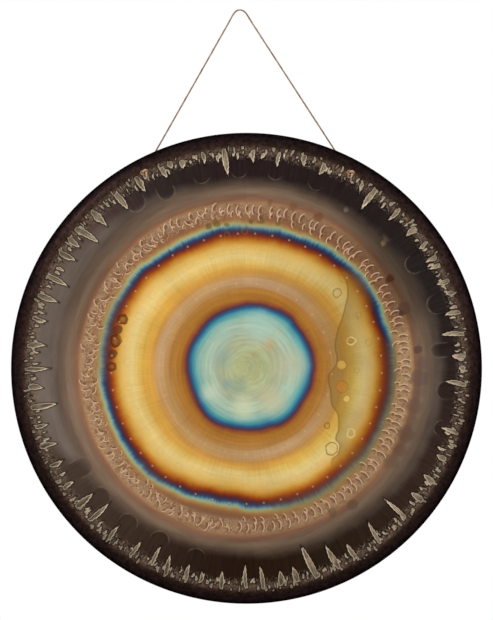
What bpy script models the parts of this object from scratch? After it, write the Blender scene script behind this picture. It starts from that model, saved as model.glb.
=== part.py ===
# Symphonic gong on its hanging cord, in metres, +Z up, with its face towards -Y.
# The origin is the hang point: the underside of the cord where it goes over its hook.
# The cord runs behind the rim and over its back lip, so the gong hangs with its top a little forward.

import math

import bmesh
import bpy
from mathutils import Matrix, Vector

# Gong plate
gong_diameter = 0.711
sheet_thickness = 0.0014
rim_depth = 0.042
shoulder_bend = 0.022
rim_taper = math.radians(6)
face_crown = 0.006
turned_steps = 96
face_steps = 5
shoulder_steps = 8
sharp_edge_angle = math.radians(40)

# Cord holes, one at each side of the top
hole_inset = 0.029
hole_angle = math.radians(28)
hole_diameter = 0.0034
hole_sides = 20

# Cord and knots
cord_diameter = 0.0025
clearance = 0.0003
hang_height = 0.220
hang_point_offset = 0.010
lip_to_hinge = 0.0022
lip_overhang = 0.0012
free_spacing = 2.7
end_spacing = 2.0
knot_spacing = 0.3
knot_loop = 0.74
knot_height = 0.88
knot_inner_lobe = 0.8
knot_reach = math.radians(150)
knot_steps = 48
left_knot_turn = math.radians(20)
right_knot_turn = math.radians(-10)
curve_steps = 24
ball_end_angle = math.radians(80)
ball_end_steps = 4

# The knot's tail, its end that turns into the hole, and the hole's place, in cord diameters from the
# knot's middle: x right, y up, z away from the face
knot_tail = [(1.04, -4.9, -0.72), (0.92, -4.3, -0.5), (0.78, -3.3, 0.25), (0.82, -2.3, 0.72)]
knot_exit = [(-0.86, -1.64, -0.96), (-0.76, -1.94, -1.2), (-0.74, -2.0, -1.5)]
knot_hole = (-0.74, -2.0, 0.0)

# The cord's own route at rest, from the left hole over the hang point to the right hole
cord_route = [
    (-0.1433, -0.0384, -0.2638),
    (-0.1433, -0.0369, -0.2636),
    (-0.1430, -0.0342, -0.2624),
    (-0.1421, -0.0309, -0.2596),
    (-0.1402, -0.0252, -0.2537),
    (-0.1367, -0.0151, -0.2429),
    (-0.1331, -0.0047, -0.2320),
    (-0.1322, -0.0024, -0.2295),
    (-0.1313, -0.0007, -0.2268),
    (-0.1302, 0.0000, -0.2237),
    (-0.1288, 0.0000, -0.2200),
    (-0.1253, 0.0000, -0.2135),
    (-0.1109, 0.0000, -0.1876),
    (-0.0870, 0.0000, -0.1445),
    (-0.0570, 0.0000, -0.0905),
    (-0.0331, 0.0000, -0.0473),
    (-0.0176, 0.0000, -0.0193),
    (-0.0092, 0.0000, -0.0042),
    (-0.0044, 0.0000, 0.0003),
    (0.0000, 0.0000, 0.00125),
    (0.0044, 0.0000, 0.0003),
    (0.0089, 0.0000, -0.0036),
    (0.0185, 0.0000, -0.0188),
    (0.0363, 0.0000, -0.0469),
    (0.0638, 0.0000, -0.0902),
    (0.0981, 0.0000, -0.1443),
    (0.1256, 0.0000, -0.1875),
    (0.1421, 0.0000, -0.2135),
    (0.1462, 0.0000, -0.2200),
    (0.1482, 0.0001, -0.2245),
    (0.1495, -0.0006, -0.2275),
    (0.1505, -0.0024, -0.2302),
    (0.1515, -0.0047, -0.2327),
    (0.1556, -0.0150, -0.2434),
    (0.1597, -0.0252, -0.2538),
    (0.1619, -0.0309, -0.2597),
    (0.1629, -0.0342, -0.2624),
    (0.1633, -0.0369, -0.2636),
    (0.1633, -0.0384, -0.2638),
]
# The two points of the route where the cord bends over the rim's lip, on the swing's axis
left_hinge_index = 10
right_hinge_index = 28

# Values worked out from the sizes above
gong_radius = gong_diameter / 2
face_radius = gong_radius - shoulder_bend
cord_radius = cord_diameter / 2
hole_circle = gong_radius - hole_inset
cutter_length = 6 * sheet_thickness
hole_from_knot = Vector(knot_hole) * cord_diameter
face_from_knot = -(knot_height * cord_diameter + cord_radius + clearance)
bend_reach = 3 * cord_diameter


def clear_scene():
    for item in list(bpy.data.objects):
        bpy.data.objects.remove(item, do_unlink=True)


def make_material(name, colour, roughness, metallic):
    material = bpy.data.materials.new(name)
    material.use_nodes = True
    shader = material.node_tree.nodes["Principled BSDF"]
    shader.inputs["Base Color"].default_value = (*colour, 1.0)
    shader.inputs["Roughness"].default_value = roughness
    shader.inputs["Metallic"].default_value = metallic
    return material


def add_object(name, data, material=None):
    item = bpy.data.objects.new(name, data)
    bpy.context.collection.objects.link(item)
    if material:
        data.materials.append(material)
    return item


def gong_profile():
    """Points of the sheet's front side as (radius, depth behind the shoulder's crest), centre first."""
    points = []
    for step in range(face_steps):
        radius = face_radius * step / face_steps
        share = radius / face_radius
        points.append((radius, -face_crown * (1 - share**2) ** 2))
    turn = math.pi / 2 + rim_taper
    for step in range(shoulder_steps + 1):
        angle = -math.pi / 2 + turn * step / shoulder_steps
        radius = face_radius + shoulder_bend * math.cos(angle)
        points.append((radius, shoulder_bend + shoulder_bend * math.sin(angle)))
    wall_radius, wall_depth = points[-1]
    lip_radius = wall_radius - (rim_depth - wall_depth) * math.tan(rim_taper)
    points.append((lip_radius, rim_depth))
    return points


def balance_depth(profile):
    """Depth of the plate's centre of mass, from the rings that the middle of its sheet sweeps."""
    middle = []
    for index, point in enumerate(profile):
        before = Vector(profile[max(index - 1, 0)])
        after = Vector(profile[min(index + 1, len(profile) - 1)])
        along = (after - before).normalized()
        inward = Vector((-along.y, along.x))
        middle.append(Vector(point) + inward * sheet_thickness / 2)
    area = 0.0
    moment = 0.0
    for start, end in zip(middle, middle[1:]):
        ring = (end - start).length * (start.x + end.x) / 2
        area += ring
        moment += ring * (start.y + end.y) / 2
    return moment / area


def make_plate(profile, material):
    """Turns the profile about local Z, which is the face's own axis, and gives the sheet its thickness."""
    mesh = bpy.data.meshes.new("gong_plate")
    build = bmesh.new()
    line = [build.verts.new((radius, 0.0, -depth)) for radius, depth in profile]
    edges = [build.edges.new(pair) for pair in zip(line, line[1:])]
    bmesh.ops.spin(
        build,
        geom=line + edges,
        cent=(0.0, 0.0, 0.0),
        axis=(0.0, 0.0, 1.0),
        angle=math.tau,
        steps=turned_steps,
        use_merge=True,
    )
    bmesh.ops.remove_doubles(build, verts=build.verts, dist=0.00001)
    bmesh.ops.recalc_face_normals(build, faces=build.faces)
    centre_face = min(build.faces, key=lambda face: face.calc_center_median().length)
    if centre_face.normal.z < 0:
        bmesh.ops.reverse_faces(build, faces=build.faces)
    build.to_mesh(mesh)
    build.free()
    mesh.shade_smooth()
    mesh.set_sharp_from_angle(angle=sharp_edge_angle)
    plate = add_object("gong_plate", mesh, material)
    thickness = plate.modifiers.new("sheet", "SOLIDIFY")
    thickness.thickness = sheet_thickness
    thickness.offset = -1.0
    thickness.use_even_offset = True
    return plate


def hole_place(side):
    """Centre of a cord hole in the plate's local frame; side is -1 for left and 1 for right."""
    return Vector((side * hole_circle * math.sin(hole_angle), hole_circle * math.cos(hole_angle), 0.0))


def drill_hole(plate, name, side):
    mesh = bpy.data.meshes.new(name)
    build = bmesh.new()
    bmesh.ops.create_cone(
        build,
        cap_ends=True,
        segments=hole_sides,
        radius1=hole_diameter / 2,
        radius2=hole_diameter / 2,
        depth=cutter_length,
    )
    build.to_mesh(mesh)
    build.free()
    cutter = add_object(name, mesh)
    cutter.parent = plate
    cutter.location = hole_place(side)
    cutter.hide_render = True
    cutter.display_type = "WIRE"
    cut = plate.modifiers.new(name, "BOOLEAN")
    cut.operation = "DIFFERENCE"
    cut.solver = "EXACT"
    cut.object = cutter


def curve_span(before, start, end, after, count):
    """Points from start up to end on a centripetal curve through four points of a route."""
    gap_in = max((start - before).length, 1e-6) ** 0.5
    gap = (end - start).length ** 0.5
    gap_out = max((after - end).length, 1e-6) ** 0.5
    slope_in = (start - before) / gap_in - (end - before) / (gap_in + gap) + (end - start) / gap
    slope_out = (end - start) / gap - (after - start) / (gap + gap_out) + (after - end) / gap_out
    points = []
    for step in range(count):
        t = step / count
        points.append(
            (2 * t**3 - 3 * t**2 + 1) * start
            + (t**3 - 2 * t**2 + t) * gap * slope_in
            + (3 * t**2 - 2 * t**3) * end
            + (t**3 - t**2) * gap * slope_out
        )
    return points


def smooth_line(route, first, last):
    """Dense points of the smooth curve through the whole route, between two of its points."""
    points = [Vector(point) for point in route]
    ahead = points[0] * 2 - points[1]
    behind = points[-1] * 2 - points[-2]
    padded = [ahead] + points + [behind]
    line = []
    for index in range(first, last):
        line += curve_span(*padded[index : index + 4], curve_steps)
    line.append(points[last])
    return line


def even_points(line, spacing, start_trim=0.0, end_trim=0.0):
    """Points at an even spacing along a line, with a length left off at each end."""
    lengths = [0.0]
    for start, end in zip(line, line[1:]):
        lengths.append(lengths[-1] + (end - start).length)
    usable = lengths[-1] - start_trim - end_trim
    count = max(2, round(usable / spacing))
    points = []
    place = 0
    for step in range(count + 1):
        target = start_trim + usable * step / count
        while lengths[place + 1] < target and place < len(line) - 2:
            place += 1
        share = (target - lengths[place]) / (lengths[place + 1] - lengths[place])
        points.append(line[place].lerp(line[place + 1], share))
    return points


def line_length(line):
    return sum((end - start).length for start, end in zip(line, line[1:]))


def rounded_end(points):
    """Points and radius shares of a ball's far half, past the last point of a cord."""
    along = (points[-1] - points[-2]).normalized()
    ball = []
    for step in range(1, ball_end_steps + 1):
        angle = ball_end_angle * step / ball_end_steps
        ball.append((points[-1] + along * cord_radius * math.sin(angle), math.cos(angle)))
    return ball


def make_tube(name, points, material, ball_end=False):
    curve = bpy.data.curves.new(name, "CURVE")
    curve.dimensions = "3D"
    curve.bevel_depth = cord_radius
    curve.bevel_resolution = 2
    curve.use_fill_caps = True
    places = [(point, 1.0) for point in points]
    if ball_end:
        places += rounded_end(points)
    spline = curve.splines.new("POLY")
    spline.points.add(len(places) - 1)
    for target, (point, share) in zip(spline.points, places):
        target.co = (*point, 1.0)
        target.radius = share
    return add_object(name, curve, material)


def knot_line():
    """Middle line of an overhand knot: x right, y up, z away from the face."""
    loop = knot_loop * cord_diameter
    height = knot_height * cord_diameter
    line = []
    for step in range(knot_steps + 1):
        t = -knot_reach + 2 * knot_reach * step / knot_steps
        x = loop * (knot_inner_lobe * math.sin(t) + 2 * math.sin(2 * t))
        y = loop * (knot_inner_lobe * math.cos(t) - 2 * math.cos(2 * t))
        line.append(Vector((x, y, -height * math.sin(3 * t))))
    return line


def make_knot(name, side, turn, material):
    """A stopper knot in front of its hole, with its exit going into the hole and its tail hanging free."""
    tail = [Vector(point) * cord_diameter for point in knot_tail]
    leave = [Vector(point) * cord_diameter for point in knot_exit]
    mouth = Vector((*hole_from_knot.xy, face_from_knot - sheet_thickness / 2 + clearance / 2))
    route = tail + knot_line() + leave + [mouth]
    points = even_points(smooth_line(route, 0, len(route) - 1), knot_spacing * cord_diameter)
    knot = make_tube(name, points, material)
    offset = Matrix.Rotation(turn, 3, "Z") @ hole_from_knot
    knot.location = hole_place(side) - offset - Vector((0.0, 0.0, face_from_knot))
    knot.rotation_euler.z = turn
    print(name, "least gap to itself in mm:", round(least_gap(points) * 1000, 2))
    return knot


def least_gap(points):
    """Least distance between the tube's own walls, past the near points of the same bend."""
    apart = round(bend_reach / (points[1] - points[0]).length)
    least = math.inf
    for index, point in enumerate(points):
        for other in points[index + apart :]:
            least = min(least, (other - point).length)
    return least - cord_diameter


def build_gong():
    gong_metal = make_material("hammered_nickel_silver", (0.42, 0.27, 0.11), 0.32, 1.0)
    cord_fibre = make_material("twisted_cord", (0.38, 0.22, 0.10), 0.85, 0.0)

    profile = gong_profile()
    lip_radius = profile[-1][0]
    crossing = (cord_route[right_hinge_index][0] - cord_route[left_hinge_index][0]) / 2
    hinge_height = math.sqrt((lip_radius + lip_overhang) ** 2 - crossing**2)
    hinge_depth = rim_depth + lip_to_hinge
    hang_tilt = math.atan((hinge_depth - balance_depth(profile)) / hinge_height)

    # The swing's axis runs along X through both bends of the cord over the lip
    pivot = add_object("gong_pivot", None)
    pivot.location = (0.0, 0.0, -hang_height)
    pivot.rotation_euler.x = hang_tilt
    pivot_place = Matrix.Translation(pivot.location) @ Matrix.Rotation(hang_tilt, 4, "X")

    plate = make_plate(profile, gong_metal)
    plate.parent = pivot
    plate.location = (hang_point_offset, -hinge_depth, -hinge_height)
    plate.rotation_euler.x = math.pi / 2
    drill_hole(plate, "left_hole_cutter", -1)
    drill_hole(plate, "right_hole_cutter", 1)

    for name, side, turn in (("knot_left", -1, left_knot_turn), ("knot_right", 1, right_knot_turn)):
        knot = make_knot(name, side, turn, cord_fibre)
        knot.parent = plate

    free_line = smooth_line(cord_route, left_hinge_index, right_hinge_index)
    trim = cord_radius + clearance
    free_points = even_points(free_line, free_spacing * cord_diameter, trim, trim)
    make_tube("hanging_cord", free_points, cord_fibre)

    left_line = smooth_line(cord_route, 0, left_hinge_index)
    right_line = smooth_line(cord_route, right_hinge_index, len(cord_route) - 1)
    right_line.reverse()
    for name, line in (("cord_end_left", left_line), ("cord_end_right", right_line)):
        points = even_points(line, end_spacing * cord_diameter, start_trim=clearance / 2)
        stretch = make_tube(name, points, cord_fibre, ball_end=True)
        stretch.parent = pivot
        stretch.matrix_parent_inverse = pivot_place.inverted()

    cord_length = line_length(left_line) + line_length(free_line) + line_length(right_line)
    print("cord length between the holes in m:", round(cord_length, 4))
    print("gong tilt in degrees:", round(math.degrees(hang_tilt), 3))
    print("hinge above the gong's centre in m:", round(hinge_height, 5))


clear_scene()
build_gong()
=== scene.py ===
# Symphonic gong on its hanging cord: its visible surfaces, in metres, +Z up, with its face towards -Y.
# The origin is the hang point, the underside of the cord where it goes over its hook.

import math
import random

import bpy
import numpy as np
from mathutils import Matrix, Vector


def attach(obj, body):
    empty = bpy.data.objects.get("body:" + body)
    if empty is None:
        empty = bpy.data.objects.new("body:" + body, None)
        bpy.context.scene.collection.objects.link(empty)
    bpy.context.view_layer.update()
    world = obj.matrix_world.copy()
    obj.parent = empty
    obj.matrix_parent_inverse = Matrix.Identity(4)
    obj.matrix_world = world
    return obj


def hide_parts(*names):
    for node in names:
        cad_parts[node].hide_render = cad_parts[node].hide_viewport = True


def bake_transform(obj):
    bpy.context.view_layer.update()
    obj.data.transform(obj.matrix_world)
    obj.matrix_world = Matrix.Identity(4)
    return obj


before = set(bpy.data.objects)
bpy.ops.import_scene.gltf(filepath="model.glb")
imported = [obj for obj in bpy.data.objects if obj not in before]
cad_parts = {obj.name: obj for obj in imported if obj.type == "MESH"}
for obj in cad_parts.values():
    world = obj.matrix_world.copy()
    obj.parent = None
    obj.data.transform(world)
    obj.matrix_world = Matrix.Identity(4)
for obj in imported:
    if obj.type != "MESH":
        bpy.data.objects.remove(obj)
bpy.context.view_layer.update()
bpy.ops.object.select_all(action="DESELECT")

# Where the gong hangs: the middle of its face plane and how far its top leans forward
hanging = {
    "centre": (0.010, -0.0033324, -0.5499423),
    "lean": math.radians(7.119589),
}
faceTurn = math.pi / 2 + hanging["lean"]
faceToWorld = Matrix.Translation(hanging["centre"]) @ Matrix.Rotation(faceTurn, 4, "X")


def linearColour(hexText):
    # sRGB hex to the linear values that a shader works in
    channels = [int(hexText[place : place + 2], 16) / 255 for place in (1, 3, 5)]
    linear = [c / 12.92 if c <= 0.04045 else ((c + 0.055) / 1.055) ** 2.4 for c in channels]
    return (*linear, 1.0)


def shares(table, low, high):
    # Puts the places of a table between 0 and 1, for a colour ramp
    return [((place - low) / (high - low), value) for place, value in table]


def addNode(tree, kind, inputs=None, output=0, stops=(), points=(), **settings):
    # Adds one node with its settings, links or values, and gives back the socket that is used
    node = tree.nodes.new("ShaderNode" + kind)
    for name, value in settings.items():
        setattr(node, name, value)
    for key, value in (inputs or {}).items():
        if isinstance(value, bpy.types.NodeSocket):
            tree.links.new(value, node.inputs[key])
        else:
            node.inputs[key].default_value = value
    if stops:
        elements = node.color_ramp.elements
        elements[-1].position = stops[-1][0]
        elements[-1].color = linearColour(stops[-1][1])
        elements[0].position = stops[0][0]
        elements[0].color = linearColour(stops[0][1])
        for place, colour in stops[1:-1]:
            elements.new(place).color = linearColour(colour)
    if points:
        curve = node.mapping.curves[0]
        curve.points[0].location = points[0]
        curve.points[-1].location = points[-1]
        for point in points[1:-1]:
            curve.points.new(*point)
        node.mapping.update()
    return node.outputs[output]


def newMaterial(name, settings):
    # A material and its shader, with the shader's own values set
    material = bpy.data.materials.new(name)
    material.use_nodes = True
    shader = material.node_tree.nodes["Principled BSDF"]
    for key, value in settings.items():
        shader.inputs[key].default_value = value
    return material, shader


def newPiece(name, vertices, edges, faces):
    # A new mesh object, selected and active
    mesh = bpy.data.meshes.new(name)
    mesh.from_pydata(vertices, edges, faces)
    piece = bpy.data.objects.new(name, mesh)
    bpy.context.collection.objects.link(piece)
    bpy.context.view_layer.objects.active = piece
    piece.select_set(True)
    return piece


def editWhole(operator, **settings):
    # Runs one edit-mode operator on all of the active mesh
    bpy.ops.object.mode_set(mode="EDIT")
    bpy.ops.mesh.select_all(action="SELECT")
    operator(**settings)
    bpy.ops.object.mode_set(mode="OBJECT")


def readAll(items, name, width, kind=float):
    # One property of all vertices, edges or faces, as a row of numbers for each
    values = np.empty(len(items) * width, kind)
    items.foreach_get(name, values)
    return values.reshape(-1, width)


# Camera
view = {
    "distance": 4.0,
    "aimRight": 0.0,
    "aimUp": 0.0880,  # how far the picture's middle is above the gong's
    "lens": 154.68,
    "sensor": 36.0,
}


def addCamera():
    camera = bpy.data.objects.new("camera", bpy.data.cameras.new("camera"))
    bpy.context.collection.objects.link(camera)
    camera.data.lens = view["lens"]
    camera.data.sensor_width = view["sensor"]
    place = Vector((view["aimRight"], view["aimUp"], view["distance"]))
    camera.location = faceToWorld @ place
    camera.rotation_euler = (faceTurn, 0.0, 0.0)
    bpy.context.scene.camera = camera


addCamera()
print("camera placed")


# Cord
cord = {
    "diameter": 0.0025,
    "ringSpacing": 0.0006,
    "sides": 20,
    "strands": 3,
    "strandDepth": 0.13,  # how far the grooves go in, as a share of the radius
    "twistLength": 0.0085,
    "curveSteps": 24,
    "smoothAngle": math.radians(50),
    "endSwell": 0.27,  # the strands spread where the cord fills its hole and at its cut ends
    "swellLength": 0.0022,
    # From the left hole over the hang point to the right hole
    "route": [
        (-0.1433, -0.0384, -0.2638), (-0.1433, -0.0369, -0.2636), (-0.143, -0.0342, -0.2624),
        (-0.1421, -0.0309, -0.2596), (-0.1402, -0.0252, -0.2537), (-0.1367, -0.0151, -0.2429),
        (-0.1331, -0.0047, -0.232), (-0.1322, -0.0024, -0.2295), (-0.1313, -0.0007, -0.2268),
        (-0.1302, 0.0, -0.2237), (-0.1288, 0.0, -0.22), (-0.1253, 0.0, -0.2135), (-0.1109, 0.0, -0.1876),
        (-0.087, 0.0, -0.1445), (-0.057, 0.0, -0.0905), (-0.0331, 0.0, -0.0473), (-0.0176, 0.0, -0.0193),
        (-0.0092, 0.0, -0.0042), (-0.0044, 0.0, 0.0003), (0.0, 0.0, 0.00125), (0.0044, 0.0, 0.0003),
        (0.0089, 0.0, -0.0036), (0.0185, 0.0, -0.0188), (0.0363, 0.0, -0.0469), (0.0638, 0.0, -0.0902),
        (0.0981, 0.0, -0.1443), (0.1256, 0.0, -0.1875), (0.1421, 0.0, -0.2135), (0.1462, 0.0, -0.22),
        (0.1482, 0.0001, -0.2245), (0.1495, -0.0006, -0.2275), (0.1505, -0.0024, -0.2302),
        (0.1515, -0.0047, -0.2327), (0.1556, -0.015, -0.2434), (0.1597, -0.0252, -0.2538),
        (0.1619, -0.0309, -0.2597), (0.1629, -0.0342, -0.2624), (0.1633, -0.0369, -0.2636),
        (0.1633, -0.0384, -0.2638),
    ],
    "bendFrom": (0.0, 0.0, -0.226),  # the stretch over the rim's lip that gives as the gong swings
    "bendTo": (0.0, 0.0, -0.214),
}

# Knots, with their lines in cord diameters from the knot's middle: x right, y up, z away from the face
knots = {
    "loop": 0.74,
    "height": 0.88,
    "innerLobe": 0.8,
    "reach": math.radians(150),
    "steps": 48,
    "ringSpacing": 0.0004,
    "tail": [(1.04, -4.9, -0.72), (0.92, -4.3, -0.5), (0.78, -3.3, 0.25), (0.82, -2.3, 0.72)],
    "exit": [(-0.86, -1.64, -0.96), (-0.76, -1.94, -1.2), (-0.74, -2.0, -1.5)],
    "hole": (-0.74, -2.0),
    "clearance": 0.0003,  # in metres, between the knot and the face
    "leftTurn": math.radians(20),
    "rightTurn": math.radians(-10),
}


def smoothLine(route, steps):
    # Dense points of the centripetal curve through all points of a route
    points = [Vector(point) for point in route]
    padded = [points[0] * 2 - points[1]] + points + [points[-1] * 2 - points[-2]]
    line = []
    for before, start, end, after in zip(padded, padded[1:], padded[2:], padded[3:]):
        gapIn = (start - before).length ** 0.5
        gap = (end - start).length ** 0.5
        gapOut = (after - end).length ** 0.5
        slopeIn = (start - before) / gapIn - (end - before) / (gapIn + gap) + (end - start) / gap
        slopeOut = (end - start) / gap - (after - start) / (gap + gapOut) + (after - end) / gapOut
        for step in range(steps):
            t = step / steps
            line.append(
                (2 * t**3 - 3 * t**2 + 1) * start
                + (t**3 - 2 * t**2 + t) * gap * slopeIn
                + (3 * t**2 - 2 * t**3) * end
                + (t**3 - t**2) * gap * slopeOut
            )
    return line + [points[-1]]


def evenLine(line, spacing):
    # The same line with its points at an even spacing, and its length
    points = np.array([tuple(point) for point in line])
    along = np.concatenate([[0.0], np.cumsum(np.linalg.norm(np.diff(points, axis=0), axis=1))])
    count = round(along[-1] / spacing)
    targets = np.linspace(0.0, along[-1], count + 1)
    even = np.stack([np.interp(targets, along, points[:, axis]) for axis in range(3)], axis=1)
    return [Vector(point) for point in even], float(along[-1])


def makeTwistedTube(name, points, length, place, material):
    # A tube whose round section has a groove between its strands, and which twists along its length
    sides = cord["sides"]
    radius = cord["diameter"] / 2
    vertices = []
    side = (points[1] - points[0]).orthogonal().normalized()
    for index, point in enumerate(points):
        before = points[max(index - 1, 0)]
        after = points[min(index + 1, len(points) - 1)]
        along = (after - before).normalized()
        side = (side - along * side.dot(along)).normalized()
        up = along.cross(side)
        twist = math.tau * length * index / (len(points) - 1) / cord["twistLength"]
        fromEnd = length * min(index, len(points) - 1 - index) / (len(points) - 1)
        swell = 1 + cord["endSwell"] * max(0.0, 1 - fromEnd / cord["swellLength"]) ** 2
        for corner in range(sides):
            angle = math.tau * corner / sides
            groove = abs(math.sin(cord["strands"] * (angle - twist / cord["strands"]) / 2))
            out = radius * swell * (1 - cord["strandDepth"] * (1 - groove) ** 2)
            vertices.append(point + (side * math.cos(angle) + up * math.sin(angle)) * out)
    rings = len(points)
    faces = []
    for ring in range(rings - 1):
        for corner in range(sides):
            following = (corner + 1) % sides
            row = ring * sides
            faces.append((row + corner, row + following, row + sides + following, row + sides + corner))
    faces.append(tuple(range(sides - 1, -1, -1)))
    faces.append(tuple(range((rings - 1) * sides, rings * sides)))
    tube = newPiece(name, [place @ vertex for vertex in vertices], [], faces)
    tube.data.materials.append(material)
    unwrapTube(tube.data, rings, sides, length)
    editWhole(bpy.ops.mesh.normals_make_consistent, inside=False)
    bpy.ops.object.shade_smooth_by_angle(angle=cord["smoothAngle"])
    tube.select_set(False)
    return tube


def unwrapTube(mesh, rings, sides, length):
    # U goes once round the tube and V along it in metres; the two end caps take the values of their rings
    uv = mesh.uv_layers.new(name="alongCord")
    for face in mesh.polygons:
        across = face.index % sides
        for loop in face.loop_indices:
            vertex = mesh.loops[loop].vertex_index
            ring, corner = divmod(vertex, sides)
            wrapped = sides if across == sides - 1 and corner == 0 and len(face.vertices) == 4 else corner
            uv.data[loop].uv = (wrapped / sides, length * ring / (rings - 1))


def holePlace(side):
    # Centre of a cord hole in the face's frame, -1 for the left one
    angle = gong["holeAngle"]
    return Vector((side * gong["holeCircle"] * math.sin(angle), gong["holeCircle"] * math.cos(angle), 0.0))


def makeKnot(name, side, turn, material):
    # An overhand stopper knot in front of its hole, with its tail hanging free
    size = cord["diameter"]
    line = []
    for step in range(knots["steps"] + 1):
        t = -knots["reach"] + 2 * knots["reach"] * step / knots["steps"]
        x = knots["loop"] * (knots["innerLobe"] * math.sin(t) + 2 * math.sin(2 * t))
        y = knots["loop"] * (knots["innerLobe"] * math.cos(t) - 2 * math.cos(2 * t))
        line.append(Vector((x, y, -knots["height"] * math.sin(3 * t))))
    faceBelow = -((knots["height"] + 0.5) * size + knots["clearance"])
    mouth = faceBelow - gong["sheet"] / 2 + knots["clearance"] / 2
    hole = Vector((*knots["hole"], 0.0)) * size
    route = [Vector(point) * size for point in knots["tail"] + line + knots["exit"]]
    route.append(Vector((hole.x, hole.y, mouth)))
    points, length = evenLine(smoothLine(route, cord["curveSteps"]), knots["ringSpacing"])
    turned = Matrix.Rotation(turn, 4, "Z")
    offset = holePlace(side) - turned @ hole - Vector((0.0, 0.0, faceBelow))
    return makeTwistedTube(name, points, length, faceToWorld @ Matrix.Translation(offset) @ turned, material)


# Cord fibre: the cord's own greyed colours, and the darker waxed ends that the knots are tied from
fibre = {
    "roughness": 0.72,
    "sheen": 0.25,
    "grooveWidth": 0.45,
    "streaks": {"Scale": 9.0, "Detail": 3.0, "Roughness": 0.7},
    "patches": {"Scale": 55.0, "Detail": 2.0, "Roughness": 0.6},  # patches about 18 mm long
    "stainStart": 0.5,
    "stainSoftness": 0.12,
    "bumpStrength": 0.5,
    "bumpDepth": 0.0002,
    "twistedPolyesterCord": {
        "strands": [(0.3, "#775c46"), (0.5, "#9f8069"), (0.7, "#bfa48c")],
        "groove": "#4f3a2c",
        "stain": "#e0a270",
    },
    "scorchedPolyesterCord": {
        "strands": [(0.3, "#805238"), (0.5, "#b98f6c"), (0.7, "#ead5bd")],
        "groove": "#3f2214",
        "stain": "#c9a68a",
    },
}


def makeCordFibre(name):
    # Twisted polyester cord: soft, a little fuzzy, with a slight sheen along each strand
    colours = fibre[name]
    values = {"Roughness": fibre["roughness"], "Sheen Weight": fibre["sheen"]}
    material, shader = newMaterial(name, values)
    tree = material.node_tree
    around = addNode(tree, "UVMap", uv_map="alongCord")
    split = addNode(tree, "SeparateXYZ", {0: around}).node
    perMetre = 1 / cord["twistLength"]
    turns = addNode(tree, "Math", {0: split.outputs[1], 1: perMetre}, operation="MULTIPLY")
    threads = addNode(tree, "Math", {0: split.outputs[0], 1: cord["strands"]}, operation="MULTIPLY")
    twisted = addNode(tree, "Math", {0: threads, 1: turns}, operation="SUBTRACT")
    strand = addNode(tree, "Math", {0: twisted, 1: 1.0}, operation="PINGPONG")
    edge = addNode(tree, "MapRange", {0: strand, 2: fibre["grooveWidth"]})
    # Fibres lie along the strands, as streaks about 0.3 mm apart with finer ones between
    fibrePlace = addNode(tree, "CombineXYZ", {0: twisted, 1: turns})
    fibres = addNode(tree, "TexNoise", {"Vector": fibrePlace, **fibre["streaks"]})
    lengthPlace = addNode(tree, "CombineXYZ", {0: split.outputs[1]})
    patches = addNode(tree, "TexNoise", {"Vector": lengthPlace, **fibre["patches"]})
    fibreColour = addNode(tree, "ValToRGB", {0: fibres}, stops=colours["strands"])
    stainEnd = fibre["stainStart"] + fibre["stainSoftness"]
    stained = addNode(tree, "MapRange", {0: patches, 1: fibre["stainStart"], 2: stainEnd})
    mixed = {0: stained, 6: fibreColour, 7: linearColour(colours["stain"])}
    body = addNode(tree, "Mix", mixed, 2, data_type="RGBA", blend_type="MULTIPLY")
    grooved = {0: edge, 6: linearColour(colours["groove"]), 7: body}
    shaded = addNode(tree, "Mix", grooved, 2, data_type="RGBA")
    tree.links.new(shaded, shader.inputs["Base Color"])
    height = addNode(tree, "Math", {0: fibres, 1: edge}, operation="ADD")
    raised = {"Height": height, "Strength": fibre["bumpStrength"], "Distance": fibre["bumpDepth"]}
    tree.links.new(addNode(tree, "Bump", raised), shader.inputs["Normal"])
    return material


# Gong plate, with sizes in metres and angles in radians
gong = {
    "faceRadius": 0.3335,
    "crown": 0.006,
    "shoulderBend": 0.022,
    "rimTaper": math.radians(6),
    "rimDepth": 0.042,
    "sheet": 0.0014,
    "holeCircle": 0.3265,
    "holeAngle": math.radians(28),
    "holeDiameter": 0.0034,
    "drillSides": 40,
    "drillDepth": 0.02,
    "mergeReach": 0.00002,
    "seamReach": 0.0001,
    "smoothAngle": math.radians(40),
    # Bands of the front from the middle outwards: inner and outer radius, rings and steps round
    "frontBands": [
        (0.0, 0.220, 30, 256), (0.222, 0.256, 22, 1024), (0.258, 0.282, 8, 512), (0.284, 0.336, 34, 1152),
    ],
    "shoulderStart": 0.3375,  # radius where the shoulder's band begins, just outside the front's last one
    "backGap": 0.003,  # and how far inside the wall the back's band begins
    "sectors": 16,
    "shoulderRings": 10,
    "wallRings": 3,
    "lipRings": 4,
    "shoulderSteps": 576,
    "backRings": 22,
    "backSteps": 192,
}


def faceHeight(radius):
    # Height of the front surface over the crest of the shoulder
    face = gong["faceRadius"]
    bend = gong["shoulderBend"]
    if radius <= face:
        return gong["crown"] * (1 - (radius / face) ** 2) ** 2
    return math.sqrt(bend**2 - (radius - face) ** 2) - bend


def shoulderLine(offset, start, rings, wallEnd):
    # The bend and the wall of the rim, this far inside the front surface
    bend = gong["shoulderBend"]
    last = math.pi / 2 + gong["rimTaper"]
    line = []
    for ring in range(rings + 1):
        angle = start + (last - start) * ring / rings
        reach = bend - offset
        line.append((gong["faceRadius"] + reach * math.sin(angle), reach * math.cos(angle) - bend))
    radius, height = line[-1]
    for ring in range(1, gong["wallRings"] + 1):
        drop = (wallEnd - height) * ring / gong["wallRings"]
        line.append((radius + drop * math.tan(gong["rimTaper"]), height + drop))
    return line


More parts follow.
